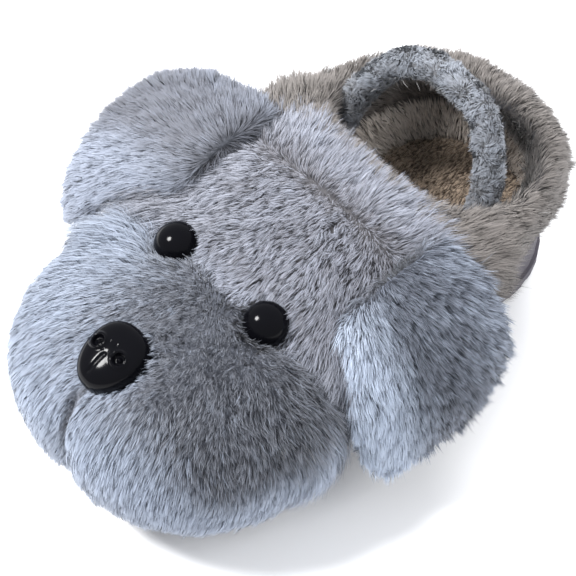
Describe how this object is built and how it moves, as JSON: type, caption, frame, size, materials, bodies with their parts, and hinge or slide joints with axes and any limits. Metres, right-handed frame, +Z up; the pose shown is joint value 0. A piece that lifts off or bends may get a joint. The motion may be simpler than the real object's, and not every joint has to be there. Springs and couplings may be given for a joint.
{
  "type": "animal slipper",
  "caption": "Plush animal slipper: padded fur shell on a thick sole, stuffed muzzle with moulded nose and domed eyes, hanging ears and a leaning heel strap.",
  "frame": {"origin": "on the floor plane, at the flat middle of the sole's tread, on the shoe's long centre line", "axes": "+Z up, -Y towards the toe, +X towards the wearer's left"},
  "size_m": [0.2099, 0.2658, 0.1195],
  "materials": {
    "sole_rubber": "matte dark grey-violet sole",
    "footbed_plush": "brown short plush",
    "head_plush": "grey-blue long plush, taupe round the collar",
    "muzzle_plush": "grey-blue long plush",
    "ear_plush": "light blue-grey long plush",
    "strap_fleece": "curly coral fleece",
    "black_plastic": "polished black"
  },
  "bodies": {
    "root": {"outsole": "sole_rubber", "insole": "footbed_plush", "upper": "head_plush", "muzzle": "muzzle_plush", "nose": "black_plastic", "eye_left": "black_plastic", "eye_right": "black_plastic", "ear_left": "ear_plush", "ear_right": "ear_plush", "heel_strap": "strap_fleece"}
  },
  "joints": []
}
